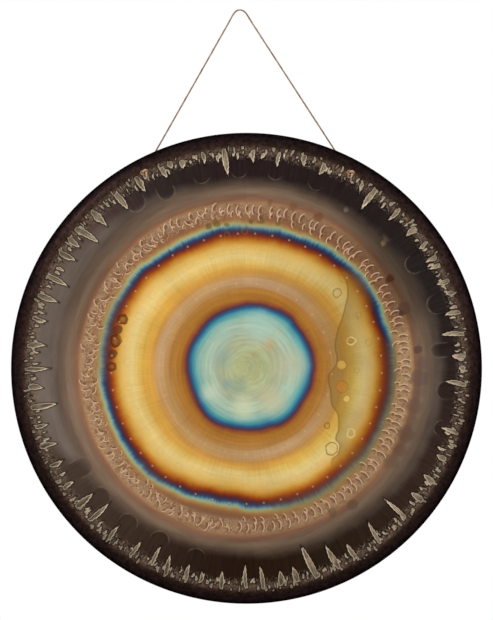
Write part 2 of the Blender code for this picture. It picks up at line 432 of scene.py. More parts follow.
def gongLines():
    # Profile lines of the bands, each with its steps round, from the front over the lip to the back
    lines = []
    for inner, outer, rings, steps in gong["frontBands"]:
        radii = [inner + (outer - inner) * ring / rings for ring in range(rings + 1)]
        lines.append(([(radius, faceHeight(radius)) for radius in radii], steps))
    half = gong["sheet"] / 2
    start = math.asin((gong["shoulderStart"] - gong["faceRadius"]) / gong["shoulderBend"])
    wallEnd = half - gong["rimDepth"]
    outside = shoulderLine(0.0, start, gong["shoulderRings"], wallEnd)
    inside = shoulderLine(gong["sheet"], 0.0, gong["shoulderRings"], wallEnd)
    middle = ((outside[-1][0] + inside[-1][0]) / 2, wallEnd)
    lip = []
    for ring in range(1, gong["lipRings"]):
        angle = math.pi * ring / gong["lipRings"]
        lip.append((middle[0] + half * math.cos(angle), middle[1] - half * math.sin(angle)))
    lines.append((outside + lip + inside[::-1], gong["shoulderSteps"]))
    radii = [gong["faceRadius"] * (1 - ring / gong["backRings"]) for ring in range(gong["backRings"] + 1)]
    radii[0] -= gong["backGap"]
    lines.append(([(radius, faceHeight(radius) - gong["sheet"]) for radius in radii], gong["backSteps"]))
    return lines


def spinBand(name, line, steps):
    # Turns one profile line through a sector about the face's axis, and repeats it all the way round
    edges = [(index, index + 1) for index in range(len(line) - 1)]
    band = newPiece(name, [(radius, 0.0, height) for radius, height in line], edges, [])
    sectors = gong["sectors"]
    sector = math.tau / sectors
    editWhole(bpy.ops.mesh.spin, steps=steps // sectors, angle=sector, center=(0, 0, 0), axis=(0, 0, 1))
    turner = bpy.data.objects.new("turner", None)
    bpy.context.collection.objects.link(turner)
    turner.rotation_euler.z = sector
    copies = band.modifiers.new("sectors", "ARRAY")
    copies.count = sectors
    copies.use_relative_offset = False
    copies.use_object_offset = True
    copies.offset_object = turner
    bpy.ops.object.modifier_apply(modifier=copies.name)
    bpy.data.objects.remove(turner, do_unlink=True)
    editWhole(bpy.ops.mesh.remove_doubles, threshold=gong["mergeReach"])
    band.select_set(False)
    return band


def bridgeSeam(shell, ends):
    # Joins two open edge rings, found by their radius and height
    mesh = shell.data
    places = readAll(mesh.vertices, "co", 3)
    radii = np.hypot(places[:, 0], places[:, 1])
    wanted = np.zeros(len(places), bool)
    reach = gong["seamReach"]
    for radius, height in ends:
        wanted |= (abs(radii - radius) < reach) & (abs(places[:, 2] - height) < reach)
    mesh.vertices.foreach_set("select", wanted)
    mesh.edges.foreach_set("select", wanted[readAll(mesh.edges, "vertices", 2, int)].all(axis=1))
    mesh.polygons.foreach_set("select", np.zeros(len(mesh.polygons), bool))
    bpy.ops.object.mode_set(mode="EDIT")
    bpy.ops.mesh.select_mode(type="EDGE")
    bpy.ops.mesh.bridge_edge_loops()
    bpy.ops.object.mode_set(mode="OBJECT")


def drillHole(shell, side):
    # A cutter through the sheet leaves a cord hole
    radius = gong["holeDiameter"] / 2
    depth = gong["drillDepth"]
    bpy.ops.mesh.primitive_cylinder_add(
        vertices=gong["drillSides"], radius=radius, depth=depth, location=holePlace(side)
    )
    cutter = bpy.context.object
    bpy.ops.object.transform_apply(location=True)
    cutter.select_set(False)
    cut = shell.modifiers.new("hole", "BOOLEAN")
    cut.operation = "DIFFERENCE"
    cut.solver = "MANIFOLD"
    cut.object = cutter
    bpy.context.view_layer.objects.active = shell
    bpy.ops.object.modifier_apply(modifier=cut.name)
    bpy.data.objects.remove(cutter, do_unlink=True)


def makeShell():
    lines = gongLines()
    bands = [spinBand(f"band{number}", line, steps) for number, (line, steps) in enumerate(lines)]
    for band in bands:
        band.select_set(True)
    shell = bands[0]
    bpy.context.view_layer.objects.active = shell
    bpy.ops.object.join()
    shell.name = shell.data.name = "gongShell"
    for (line, _), (following, _) in zip(lines, lines[1:]):
        bridgeSeam(shell, (line[-1], following[0]))
    editWhole(bpy.ops.mesh.normals_make_consistent, inside=False)
    for side in (-1, 1):
        drillHole(shell, side)
    shell.data.materials.clear()
    return shell


# Marks of the hammer, with angles in degrees clockwise from the top and lengths in millimetres
marks = {
    "seed": 4,
    # The long strokes drawn in from the shoulder: angle and radius of the tip
    "strokes": [
        (1.9, 308), (8.8, 304), (15.4, 318), (20.8, 310), (32, 318), (35.9, 291), (43.9, 307), (50.3, 310),
        (54.9, 313), (59.4, 318), (61.5, 310), (66.4, 312), (70, 318), (75.2, 307), (81, 296), (86.6, 309),
        (90, 318), (94.4, 298), (107.2, 304), (114.4, 313), (121.3, 309), (126.9, 309), (133.1, 281),
        (142.5, 292), (149.9, 303), (155, 287), (161.3, 277), (166.6, 304), (171, 306), (175.6, 296),
        (180.1, 293), (186.6, 306), (192.2, 310), (195.9, 306), (201.4, 302), (205.8, 295), (211.9, 304),
        (218.8, 302), (225.9, 286), (230.8, 296), (236.6, 310), (243.6, 306), (249.1, 306), (254.4, 309),
        (259.7, 289), (265.1, 306), (269.9, 293), (275.9, 302), (283.4, 307), (289.5, 298), (295, 293),
        (301.9, 302), (306.3, 309), (309.3, 292), (315.5, 298), (323.1, 298), (330, 306), (337.2, 309),
        (339.5, 321), (342.5, 316), (348.4, 312), (354.1, 289),
    ],
    "strokeBase": 330,
    # Limits of the random draws: where a stroke starts, its half width and how fast it tapers
    "strokeStart": (-2.0, 3.0),
    "strokeWidth": (2.4, 4.6),
    "strokeTaper": (0.7, 1.7),
    "strokeReach": 3.0,  # degrees to either side within which a stroke is looked for
    # The small nicks between the strokes, and how far apart they may start in shares of their spacing
    "nickCount": 420,
    "nickPlace": (0.0, 0.9),
    "nickStart": (-9.0, 7.0),
    "nickLength": (3.0, 13.0),
    "nickWidth": (0.5, 1.9),
    "nickTaper": (0.5, 1.2),
    # How far a stroke or nick leans and bows, the waves along its sides, the half width that its blunt
    # base adds, and how wide the base is already
    "lean": (-0.14, 0.14),
    "bow": (-1.8, 1.8),
    "waveDepth": 0.35,
    "wavesPerMm": 0.9,
    "bluntBase": 0.3,
    "baseShare": 0.2,
    # Flat round-ended dents: angle, radius of the inner end and half width
    "dents": [
        (8.4, 287, 12.1), (20.6, 287, 12.1), (58.1, 283, 13.6), (71.3, 287, 14.4), (84.6, 277, 10.6),
        (96.3, 287, 13.6), (107, 295, 12.1), (195, 280, 14.4), (206.9, 275, 14.4), (217.5, 278, 14.4),
        (228.8, 277, 14.4), (239, 271, 14.4), (326.3, 286, 14.4), (335.6, 279, 12.9), (346.9, 286, 12.9),
        (357.8, 287, 12.9),
    ],
    "dentLength": 30,
    # Rows of half-moon marks: first and last angle, radius of the row and its spread, spacing in degrees,
    # the marks' own radius and its spread, and how far they lean either way
    "moonRows": [
        (-6, 186, 238.5, 1.2, 3.0, 10.5, 0.08, 8),
        (-6, 186, 229.5, 2.0, 3.9, 7.6, 0.25, 25),
        (187, 353, 241.0, 4.0, 2.6, 8.0, 0.35, 45),
        (187, 353, 232.5, 4.0, 3.1, 6.2, 0.35, 60),
    ],
    "moonJitter": (-0.25, 0.25),  # in shares of the spacing
    "moonShift": 0.6,  # how far a mark's centre is set aside, in shares of its radius
    "moonReach": (37.2, 62),  # degrees of arc either way where a mark begins and ends to fade
    "moonNear": 6,  # degrees round the gong within which a mark is looked for
    "moonFade": (4.0, 7.0),
    "far": 20.0,  # the distance given where no mark is near
    # Heights in mm of what is pressed in or raised, and the distances over which it passes to the face
    "strokeDepth": (0.40, -1.6, 0.2),
    "lipHeight": (0.16, -0.4, 0.6, 2.4),
    "dentDepth": (0.45, -7.0, 0.5),
    "moonHeight": (0.30, 0.2, 1.7),
    # The front is what faces forward by this much and lies above this height in metres
    "frontFacing": 0.2,
    "frontHeight": -0.006,
    "moonZone": (215, 262),
}


def ease(value, low, high):
    # 0 at low, 1 at high, and smooth between
    t = np.clip((value - low) / (high - low), 0.0, 1.0)
    return t * t * (3 - 2 * t)


def turnBetween(angles, centre):
    return (angles - centre + 180) % 360 - 180


def strokeEdges(radii, angles):
    # Signed distance in mm to the nearest flame-shaped stroke, negative inside it
    draw = random.Random(marks["seed"])
    base = marks["strokeBase"]
    shapes = []
    for angle, tip in marks["strokes"]:
        start = base + draw.uniform(*marks["strokeStart"])
        width = draw.uniform(*marks["strokeWidth"])
        shapes.append((angle, start, tip, width, draw.uniform(*marks["strokeTaper"])))
    for number in range(marks["nickCount"]):
        angle = 360 * (number + draw.uniform(*marks["nickPlace"])) / marks["nickCount"]
        start = base + draw.uniform(*marks["nickStart"])
        tip = start - draw.uniform(*marks["nickLength"])
        width = draw.uniform(*marks["nickWidth"])
        shapes.append((angle, start, tip, width, draw.uniform(*marks["nickTaper"])))
    nearest = np.full(len(radii), marks["far"])
    for angle, start, tip, width, taper in shapes:
        length = start - tip
        lean = draw.uniform(*marks["lean"])
        bow = draw.uniform(*marks["bow"])
        ripple = draw.uniform(0.0, math.tau)
        close = abs(turnBetween(angles, angle)) < marks["strokeReach"]
        along = start - radii[close]
        share = np.clip(along / length, 0.0, 1.0)
        across = radii[close] * np.radians(turnBetween(angles[close], angle)) + lean * along
        across += bow * np.sin(math.pi * share)
        across += marks["waveDepth"] * np.sin(marks["wavesPerMm"] * along + ripple)
        bulge = marks["baseShare"] + (1 - marks["baseShare"]) * share
        half = width * np.sin(math.pi * bulge) ** taper + marks["bluntBase"] * (1 - share)
        edge = np.maximum(abs(across) - half, np.maximum(-along, along - length))
        nearest[close] = np.minimum(nearest[close], edge)
    return nearest


def dentEdges(radii, angles):
    # Signed distance to the nearest round-ended dent
    nearest = np.full(len(radii), marks["far"])
    for angle, inner, half in marks["dents"]:
        middle = inner + half
        across = radii * np.radians(turnBetween(angles, angle))
        along = np.clip(radii, middle, middle + marks["dentLength"]) - radii
        nearest = np.minimum(nearest, np.hypot(across, along) - half)
    return nearest


def moonEdges(radii, angles):
    # Signed distance from the line of the nearest half-moon mark, and how strong the mark is there
    draw = random.Random(marks["seed"] + 1)
    line = np.full(len(radii), marks["far"])
    strength = np.zeros(len(radii))
    closest = np.full(len(radii), marks["far"])
    for first, last, row, rowSpread, spacing, size, spread, leaning in marks["moonRows"]:
        for number in range(round((last - first) / spacing)):
            angle = first + spacing * (number + draw.uniform(*marks["moonJitter"]))
            radius = size * (1 + draw.uniform(-spread, spread))
            centre = row + draw.uniform(-rowSpread, rowSpread)
            lean = draw.uniform(-leaning, leaning)
            near = abs(turnBetween(angles, angle)) < marks["moonNear"]
            across = radii[near] * np.radians(turnBetween(angles[near], angle))
            across -= radius * marks["moonShift"]
            along = radii[near] - centre
            reach = np.hypot(across, along) - radius
            bearing = abs(turnBetween(np.degrees(np.arctan2(along, -across)), lean))
            mask = 1 - ease(bearing, *marks["moonReach"])
            away = abs(reach) + marks["far"] * (1 - mask)
            better = away < closest[near]
            closest[near] = np.where(better, away, closest[near])
            line[near] = np.where(better, reach, line[near])
            faded = mask * (1 - ease(abs(reach), *marks["moonFade"]))
            strength[near] = np.where(better, faded, strength[near])
    return line, strength


def hammerShell(shell):
    # Presses the marks into the front and keeps their edges as attributes for the material
    mesh = shell.data
    places = readAll(mesh.vertices, "co", 3)
    facing = readAll(mesh.vertices, "normal", 3)[:, 2]
    radii = np.hypot(places[:, 0], places[:, 1]) * 1000
    angles = np.degrees(np.arctan2(places[:, 0], places[:, 1])) % 360
    front = (facing > marks["frontFacing"]) & (places[:, 2] > marks["frontHeight"])
    moonStart, moonEnd = marks["moonZone"]
    outer = front & (radii > moonEnd)
    inner = front & (radii > moonStart) & (radii < moonEnd)
    stroke = np.full(len(places), marks["far"])
    dent = stroke.copy()
    moonLine = stroke.copy()
    moonStrength = np.zeros(len(places))
    stroke[outer] = strokeEdges(radii[outer], angles[outer])
    dent[outer] = dentEdges(radii[outer], angles[outer])
    moonLine[inner], moonStrength[inner] = moonEdges(radii[inner], angles[inner])
    depth, within, beyond = marks["strokeDepth"]
    drop = depth * (1 - ease(stroke, within, beyond))
    height, within, crest, beyond = marks["lipHeight"]
    drop -= height * ease(stroke, within, crest) * (1 - ease(stroke, crest, beyond))
    depth, within, beyond = marks["dentDepth"]
    drop += depth * (1 - ease(dent, within, beyond))
    height, within, beyond = marks["moonHeight"]
    drop -= height * moonStrength * (1 - ease(abs(moonLine), within, beyond))
    places[:, 2] -= np.where(front, drop, 0.0) / 1000
    mesh.vertices.foreach_set("co", places.ravel())
    edges = {"strokeEdge": stroke, "dentEdge": dent, "moonLine": moonLine, "moonStrength": moonStrength}
    for name, values in edges.items():
        mesh.attributes.new(name, "FLOAT", "POINT").data.foreach_set("value", values)
    mesh.update()


# Colours and levels by place on the face and the back: offsets and radii in mm, angles in degrees
heat = {
    # Radius of the outer temper ring's blue line, of the middle disc's edge and of the black band's edge
    "ringRadius": [
        (0, 210.2), (10, 208.7), (20, 209.5), (30, 211.8), (40, 214.8), (50, 217.8), (60, 217), (70, 215.5),
        (80, 216.3), (90, 217), (100, 217), (110, 217), (120, 217), (130, 216.3), (140, 213.3),
        (150, 214.8), (160, 211.8), (170, 209.5), (180, 204.9), (190, 201.2), (200, 204.2), (210, 208),
        (220, 211.8), (230, 213.3), (240, 212.5), (250, 213.3), (260, 214), (270, 214.8), (280, 215.5),
        (290, 216.3), (300, 215.5), (310, 215.5), (320, 211), (330, 209.5), (340, 209.5), (350, 211),
        (360, 210.2),
    ],
    "discRadius": [
        (0, 96.8), (20, 99.0), (40, 101.5), (50, 98.6), (60, 99.1), (80, 101.3), (100, 99.8), (120, 97.6),
        (140, 99.1), (160, 93.8), (180, 92.3), (190, 91.5), (210, 93.8), (230, 90.8), (250, 87),
        (270, 89.2), (290, 90.8), (310, 90.8), (330, 93), (350, 94.5), (360, 96.8),
    ],
    "bandRadius": [
        (0, 281.0), (20, 280.0), (45, 282.0), (60, 286.0), (90, 291.9), (120, 290.0), (140, 283.0),
        (165, 281.0), (190, 276.0), (215, 279.0), (235, 286.0), (248, 308.6), (262, 320.6), (285, 320.6),
        (300, 314.6), (312, 307), (322, 294.0), (335, 288.0), (350, 281.0), (360, 281.0),
    ],
    # How clear the blue of the outer ring is, and how light the gold and the taupe bands are by angle:
    # painted light, lighter towards the lower left and darker towards the upper right
    "ringBlue": [
        (0, 0.45), (15, 0.9), (40, 1.0), (72, 1.0), (80, 0.3), (95, 0.0), (135, 0.0), (165, 0.25),
        (178, 0.8), (205, 0.9), (220, 0.6), (235, 0.9), (262, 0.85), (275, 0.35), (300, 0.5), (315, 0.9),
        (340, 0.9), (360, 0.45),
    ],
    "goldPaintedLight": [
        (0, 1.08), (30, 0.92), (60, 0.8), (95, 0.82), (120, 1.0), (150, 1.12), (180, 1.06), (210, 1.12),
        (240, 1.12), (300, 1.12), (330, 1.08), (360, 1.06),
    ],
    # How clear the pale ring between the disc and the outer ring is
    "haloLevel": [
        (0, 0.55), (30, 0.45), (55, 0.15), (80, 0.0), (110, 0.1), (135, 0.3), (170, 0.45), (200, 0.25),
        (240, 0.2), (275, 0.5), (300, 0.45), (330, 0.3), (360, 0.55),
    ],
    # How creamy and how curly the band of half-moons is
    "creamLevel": [
        (0, 0.1), (70, 0.0), (78, 0.6), (90, 0.65), (110, 0.5), (150, 0.35), (170, 0.2), (240, 0.35),
        (300, 0.15), (360, 0.1),
    ],
    "curlLevel": [
        (0, 0.25), (70, 0.15), (82, 0.6), (150, 0.4), (185, 0.6), (250, 0.8), (330, 0.7), (360, 0.25),
    ],
    "taupePaintedLight": [
        (0, 0.86), (30, 0.74), (55, 0.42), (68, 0.46), (80, 0.78), (100, 0.86), (130, 0.8), (160, 0.76),
        (200, 0.85), (240, 1.0), (270, 0.95), (300, 0.75), (330, 0.78), (360, 0.8),
    ],
    "clearRing": [
        (-60.5, "#ce9943"), (-51, "#d6b060"), (-42, "#dcc07a"), (-33, "#dbb96c"), (-27, "#d6ad58"),
        (-24, "#d0a354"), (-19.7, "#c18b37"), (-16.6, "#b5742a"), (-13.6, "#a2561c"), (-10.6, "#88391b"),
        (-7.6, "#5f2a28"), (-4.5, "#3d2c3c"), (-1.5, "#2c3f62"), (0, "#33597a"), (1.5, "#4a7488"),
        (3, "#6a8f90"), (4.5, "#86a089"), (6, "#9ca47f"), (7.6, "#a49b6a"), (9, "#a38a56"), (12, "#9a7148"),
        (15, "#8c5e3a"), (18, "#82593c"), (21, "#7d5a43"), (24, "#7f5d47"), (30, "#896a53"),
        (36, "#957455"), (41, "#9a7655"), (45.4, "#83624c"),
    ],
    "dullRing": [
        (-60.5, "#d2a74d"), (-51, "#d9bb67"), (-42, "#dac281"), (-33, "#d8b673"), (-27, "#d1aa5c"),
        (-21, "#c38936"), (-18, "#b47226"), (-15, "#a35b20"), (-12, "#8d431e"), (-9, "#793a22"),
        (-6, "#68392e"), (-3, "#5f453d"), (0, "#64584f"), (3, "#736f59"), (6, "#847550"), (9, "#917648"),
        (12, "#906941"), (15, "#8f6745"), (21, "#8b664f"), (27, "#9b7b65"), (30, "#9f8166"),
        (36, "#9b7559"), (42, "#8a674f"), (45.4, "#806048"),
    ],
    "disc": [
        (-100, "#adb384"), (-76, "#b0b282"), (-66, "#b6bd92"), (-54, "#b0b48f"), (-42, "#adb89b"),
        (-36, "#afc2ab"), (-30, "#abc3a9"), (-24, "#a3bda8"), (-18, "#8fb7ab"), (-15, "#7fb0a6"),
        (-12, "#62a3a4"), (-9, "#4990a0"), (-6, "#346d8e"), (-3, "#3a4a6c"), (0, "#5c3640"), (3, "#884a36"),
        (6, "#a0602f"), (9, "#a86e2d"), (12, "#ad7530"), (18, "#b27a38"), (24, "#b37f40"), (27, "#b5864d"),
        (33, "#b98d54"), (42, "#bc8e4f"), (48, "#bf8c47"), (54, "#cc9546"), (60.5, "#d1a146"),
    ],
    "outside": [
        (236, "#8f6d55"), (242, "#9a7b60"), (248, "#a4805f"), (251, "#a4795a"), (254, "#95694c"),
        (258.6, "#866753"), (263, "#876b57"), (266, "#86705b"), (272, "#796352"), (278, "#6e5a4b"),
        (284, "#69594d"), (296, "#70635a"), (320, "#75675d"), (340, "#6b5c52"),
    ],
    # The black band between the strokes, by angle
    "band": [
        (0, "#291d1d"), (30, "#271e1d"), (60, "#272120"), (90, "#2d2320"), (120, "#392a22"),
        (150, "#2c2017"), (180, "#291a11"), (195, "#2d2018"), (210, "#3b2b23"), (225, "#43342b"),
        (240, "#493a32"), (255, "#544338"), (270, "#655044"), (285, "#6a5447"), (300, "#5d4b3f"),
        (315, "#4c3b36"), (330, "#322826"), (345, "#2c2220"), (360, "#291d1d"),
    ],
    # How bright the middle of a stroke is, by angle
    "strokeLevel": [
        (0, 0.85), (50, 0.95), (110, 0.9), (150, 0.7), (180, 0.55), (240, 0.45), (300, 0.55), (340, 0.75),
        (360, 0.85),
    ],
    # Across the grain of a stroke
    "stroke": [(0.34, "#43362a"), (0.45, "#8f7c63"), (0.55, "#b3a085"), (0.68, "#d9c6a8")],
    # Outwards over the back
    "back": [
        (0, "#7d705c"), (60, "#84745a"), (88, "#6d5a48"), (98, "#5a4438"), (108, "#7a5f42"),
        (150, "#8d7048"), (190, "#806040"), (208, "#5c4034"), (218, "#55493f"), (240, "#75634f"),
        (280, "#5a4c40"), (320, "#3f342d"), (345, "#2b2422"), (360, "#241f1f"),
    ],
    "rim": [
        (322, "#6a5647"), (328, "#57443a"), (333, "#412f28"), (337, "#2c1f19"), (342, "#221715"),
        (350, "#1e1618"), (356, "#241d20"),
    ],
}


# Stains, drops and rubbed places on the front, with some painted glints, highlights and reflections among
# them: x right and y up from the middle, in mm
stains = {
    # x, y, radius, softness, colour and strength
    "blobs": [
        # The middle disc's swirl: pale green temper colour, with its palest patches a painted highlight
        (-37, 18, 14, 12, "#88a79c", 0.55), (-35, 50, 12, 12, "#9dbcae", 0.45),
        (-14, -27, 13, 9, "#8da08c", 0.6), (-31, -24, 6, 6, "#79a2a4", 0.6),
        (-55, -36, 12, 10, "#cfdabf", 0.6), (-5, -58, 16, 12, "#d5dcb4", 0.65),
        (36, -47, 17, 14, "#cfc49c", 0.6), (68, 5, 20, 16, "#c2bf9f", 0.55), (34, 36, 8, 9, "#c79f66", 0.5),
        (12, 20, 4, 6, "#a8976a", 0.5), (-12, 0, 10, 9, "#bcc08c", 0.5), (20, 62, 22, 12, "#a9cabd", 0.5),
        # Drops of polish run down from the blue ring at the left; the small lighter spot in three of them is
        # a painted glint
        (-187, 74, 8, 1.2, "#6f3c1d", 0.85), (-194, 58, 7, 1.2, "#5e3220", 0.8),
        (-197, 42, 9, 1.2, "#6b3a1c", 0.85), (-201, 22, 7, 1.2, "#52301f", 0.75),
        (-203, 3, 7, 1.2, "#6b3a1c", 0.8), (-186, 74, 3.5, 1.5, "#b0702c", 0.8),
        (-195, 42, 3.5, 2.5, "#a8622a", 0.7), (-201, 4, 2.5, 1.5, "#a8622a", 0.7),
        # Dark scale outside the half-moons at the right; the soft blobs from (264, 8) to (217, -140) merge
        # into a darker band that is a painted reflection
        (215.5, 135.7, 6.5, 1.5, "#47261a", 0.85), (238, 90.5, 10, 1.5, "#553d30", 0.8),
        (232, 84, 6, 1.5, "#4c3328", 0.8), (257, 28.4, 6.5, 1.5, "#5b443c", 0.8),
        (264, 8, 9, 5.0, "#66504a", 0.6), (259, -14, 13, 4.0, "#604b46", 0.6),
        (258, -36, 10, 5.0, "#665048", 0.5), (251, -56, 13, 4.5, "#604a40", 0.6),
        (247, -78, 10, 5.0, "#65503f", 0.5), (239, -98, 13, 4.5, "#5c463a", 0.6),
        (230, -122, 11, 5.0, "#5c463a", 0.55), (217, -140, 11, 5.0, "#65503f", 0.5),
        (159, -204, 8, 2.0, "#5f4a3a", 0.6), (129, -215, 7, 2.0, "#5f4a3a", 0.5),
        (108, 228, 7, 2.5, "#6b3f28", 0.6), (70, 243, 6, 2.5, "#6d4630", 0.5),
        (36, 250, 4, 2.0, "#6a4a36", 0.5),
        # Bright places between the dents at the upper right
        (131, 269, 6, 3.0, "#9d8a6a", 0.75), (150, 240, 4, 2.0, "#a39584", 0.7),
        (164, 252, 8, 4.0, "#b3946a", 0.85), (154, 262, 5, 3.0, "#9b8360", 0.7),
        (189, 234, 6.5, 3.5, "#b79b70", 0.85), (213.5, 199, 7, 3.5, "#b39870", 0.85),
        (207, 190, 4, 2.5, "#a08a68", 0.7), (231.6, 187.5, 5, 3.0, "#b3956e", 0.75),
        # Olive specks over the blue ring at the top
        (-57, 213, 4.5, 1.5, "#4d4a22", 0.6), (-44, 217, 5, 1.5, "#57502a", 0.6),
        (-30, 216, 4, 1.5, "#4d4a22", 0.6), (8, 222, 3.5, 1.5, "#4d4a22", 0.6),
        (22, 221, 4.5, 1.5, "#4d4a2a", 0.5), (46, 217, 4, 1.5, "#5b5630", 0.5),
        # Amber drops at the right
        (141, -26, 8, 2.0, "#c17e32", 0.7), (150, -47, 5, 1.5, "#e6c46a", 0.8),
        (143, 5, 7, 2.0, "#d5aa54", 0.75),
    ],
    # Drops left as thin rings: x, y, radius, colour and strength
    "rings": [
        (127, -120, 8.6, "#7d5f2a", 0.75), (120, -86, 3.8, "#7d5626", 0.7), (143, -27, 9.1, "#94682a", 0.5),
        (150, -46, 5.6, "#a37f36", 0.5), (157, -97, 6.0, "#f0dc9a", 0.55), (157, 41, 6.0, "#ecd28a", 0.7),
        (155, 42, 4.0, "#8a6a2e", 0.4), (143, 5, 7.6, "#8f6a2c", 0.45), (183, 39, 4.5, "#8d7034", 0.35),
        (168, 81, 4.5, "#86692f", 0.35), (145, 136, 7.6, "#8a6a2e", 0.4), (136, 114, 6.0, "#80642e", 0.6),
        (166, -2, 4.0, "#8d7034", 0.3), (-186, 74, 7.2, "#2e180e", 0.6), (-195, 43, 8.0, "#2e180e", 0.6),
        (-202, 3, 6.5, "#2e180e", 0.6), (-29, 200, 4.5, "#8a6022", 0.4), (-3, 205, 3.8, "#8a6022", 0.4),
    ],
    # Rows of small round dents drawn as thin rings, and rows of bright dots (size 0) that are painted glints
    # on small dents: radius, count, size, thickness of the edge, colour and strength
    "dentRingsAndGlints": [
        (203, 49, 0.0, 2.2, "#e2b489", 0.45), (179, 31, 5.6, 0.9, "#9c8f5c", 0.16),
        (159, 29, 5.4, 0.9, "#a88c50", 0.12), (128, 25, 0.0, 2.4, "#e0c49c", 0.25),
    ],
    # Edge of a painted dark reflection at the right, as height and distance from the middle
    "darkReflectionReach": (110, 160),
    "darkReflection": [
        (-160, 126), (-155, 127), (-138, 128), (-127, 138), (-115, 140), (-105, 134), (-91, 138),
        (-73, 138), (-53, 128), (-34, 126), (-12, 123), (-2, 129), (16, 136), (31, 133), (53, 136),
        (74, 143), (93, 148), (117, 152), (136, 148), (145, 143), (152, 140),
    ],
}


# Limits of the values that change round the gong, where they aren't 0 and 1
curveLimits = {
    "ringRadius": (190, 230),
    "discRadius": (80, 110),
    "bandRadius": (260, 330),
    "goldPaintedLight": (0, 1.5),
    "taupePaintedLight": (0, 1.5),
}

# How one look passes into the next: from and to, then the values there where they aren't 0 and 1.
# Radii and distances are in mm, and a noise is about 0.5 in its middle
spans = {
    "streakShift": (0.2, 0.8, -1.5, 1.5),
    "waveShift": (0.25, 0.75, -1.8, 1.8),
    "stirShift": (0.25, 0.75, -2.5, 2.5),
    # Inside the temper ring
    "discToRing": (142, 156),
    "discToGold": (110, 150),
    "arcFade": (100, 200, 1.0, 0.0),
    "arcLight": (0.3, 0.7, 0.85, 1.12),
    "cloudLight": (0.3, 0.7, 0.94, 1.06),
    "rayLight": (0.3, 0.7, 0.95, 1.05),
    # The painted dark reflection at the right
    "filmFade": (155, 130),
    "filmIn": (-0.8, 0.8),
    "filmOut": (0.0, 45.0, 0.62, 0.0),
    # Outside it
    "ringToTaupe": (236, 248),
    "rippleLight": (0.32, 0.68, 0.84, 1.17),
    "mottle": (0.35, 0.62, 0.0, 0.55),
    "dentDark": (-4.0, 0.8, 9.0, 0.0),
    "scaled": (-13, 12),
    "smoke": (0.3, 0.7, 0.8, 1.25),
    "dentFade": (16, 6),
    "dentBreaks": (0.36, 0.6, 0.15, 1.0),
    "lumpLight": (0.1, 0.7, 0.7, 1.35),
    "patchLight": (0.3, 0.7, 0.65, 1.3),
    "toRim": (318, 332),
    # Painted shadow inside the half-moons
    "moonHollow": (-7.0, -1.2, 0.0, 0.62),
    # Painted shadow round the strokes
    "strokeOutline": (0.4, 2.6, 0.85, 0.0),
    "rubbed": (308, 332, 1.1, 0.45),
    # Painted highlight along the strokes' edges
    "brightEdge": (-1.5, -0.5, 0.0, 0.75),
    "strokeBody": (-0.5, 0.35, 1.0, 0.0),
    # The back
    "backLight": (0.3, 0.7, 0.75, 1.3),
    "dimples": (0.1, 0.45, 0.22, 0.0),
    "backStreaks": (0.3, 0.7, 0.88, 1.12),
}
spans = {name: dict(enumerate(ends, 1)) for name, ends in spans.items()}
smoothSpans = ("discToRing", "discToGold", "ringToTaupe", "scaled", "toRim")

patterns = {
    # Noises, with their scale in cycles for each mm
    "waves": {"Scale": 0.035, "Detail": 2.0},
    "stir": {"Scale": 0.07, "Detail": 2.0},
    "facets": {"Scale": 0.09, "Detail": 2.0},
    "grain": {"Scale": 0.9, "Detail": 2.0},
    "clouds": {"Scale": 0.018, "Detail": 3.0},
    "curls": {"Scale": 0.16, "Detail": 2.0, "Distortion": 0.8},
    "patches": {"Scale": 0.12, "Detail": 3.0},
    "backPatches": {"Scale": 0.03, "Detail": 4.0},
    "lumps": {"Scale": 0.2, "Randomness": 1.0},
    "dimples": {"Scale": 0.075, "Randomness": 0.9},
    # Noises drawn out along the radius or round the gong: how fine round it, and for each mm outwards
    "streaks": (70, 0.02),
    "arcs": (1.3, 0.24),
    "ripples": (3.0, 0.08),
    "strokeGrain": (420, 0.05),
    "drawnOut": {"Scale": 1.0, "Detail": 3.0, "Roughness": 0.62},
    # Rows round the gong: radius, half width and softness in mm
    "haloRow": (131, 3, 8),
    "moonRow": (238, 8, 7),
    "curlRow": (324, 5, 7),
    # Thin lines: the value they follow, their half width and strength
    "darkReflectionLine": (0.0, 1.8, 0.5),
    "curlLine": (0.5, 0.034, 1.0),
    "dentLine": (0.0, 1.4, 0.48),
    "moonLine": (0.0, 1.2, 0.9),
    "dropLine": 1.4,
    "lineCore": 0.25,  # the share of a line's half width that has its full strength
    # How far the slow waves shift the middle disc, the black band and the rings of the back
    "discWaves": 0.5,
    "bandWaves": 1.6,
    "backWaves": 3.0,
    "moonInside": -0.2,
    "speckShare": 0.55,
}

tints = {
    "glance": "#8a8078",  # of what the metal reflects at a flat angle
    # Painted dark reflection at the right, and the darker line along its edge
    "halo": "#c2a283",
    "darkReflection": "#93702f",
    "darkReflectionEdge": "#6d4d1e",
    "cream": "#bb9b70",
    "mottle": "#7a4f33",
    "curl": "#cba984",
    "dentLine": "#7b6a5a",
    # Painted shadow inside each half-moon, and a painted highlight along its line
    "moonHollow": "#54362a",
    "moonLine": "#d3ad8c",
    "speck": "#9c8a72",
    # Painted shadow round each stroke, and a painted highlight along its edge
    "strokeOutline": "#17110f",
    "strokeEdge": "#dcc9ad",
    "dimple": "#8f7a60",
}

finishes = {
    "discRoughness": 0.36,
    "rimRoughness": 0.42,
    "backRoughness": 0.48,
    "grainShare": 0.12,
    "bumpStrength": 0.5,
    "bumpDepth": 0.001,
    # Stains belong to the metal that shows them: inner and outer radius in mm
    "discStains": (0, 226),
    "rimStains": (219, 400),
    "discEdge": 0.221,  # where the disc's metal ends, in metres
    # A face is the front's if it faces forwards or outwards by more than this
    "forwards": 0.05,
    "outwards": 0.4,
    "leastRadius": 0.001,  # in metres, so that nothing is divided by zero in the middle
}


